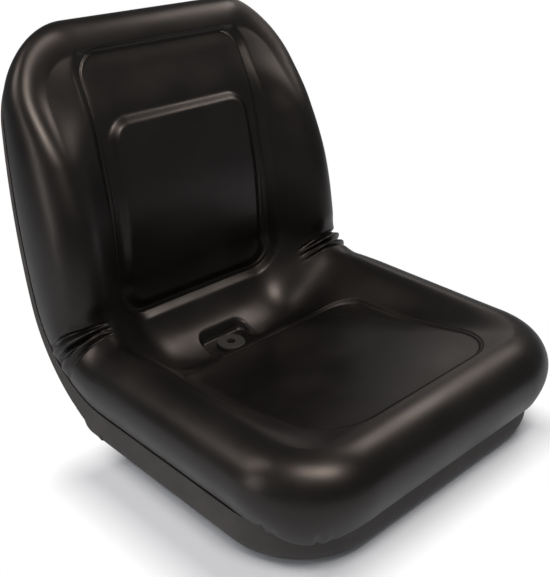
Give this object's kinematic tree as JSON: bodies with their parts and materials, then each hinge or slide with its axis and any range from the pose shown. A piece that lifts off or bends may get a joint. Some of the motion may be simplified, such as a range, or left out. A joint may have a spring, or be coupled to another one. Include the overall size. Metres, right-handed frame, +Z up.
{
  "type": "ride on mower seat",
  "caption": "High-back bucket seat for a ride-on mower: a moulded foam cushion under a black vinyl cover on a pressed steel pan, with a drain at the foot of the back and bolt holes below.",
  "frame": {"origin": "centre of the four mounting holes, on the underside of the pan", "axes": "X across the seat, -Y to the front of the seat, +Z up"},
  "size_m": [0.4822, 0.5538, 0.4632],
  "materials": {
    "pan_paint": "matte dark grey paint",
    "foam": "moulded polyurethane foam, open cells",
    "vinyl": "black grained vinyl, satin",
    "grommet_plastic": "moulded black plastic",
    "nut_steel": "zinc plated"
  },
  "bodies": {
    "root": {"seat_pan": "pan_paint", "foam_cushion": "foam", "vinyl_cover": "vinyl", "drain_grommet": "grommet_plastic", "mounting_nuts": "nut_steel"}
  },
  "joints": []
}
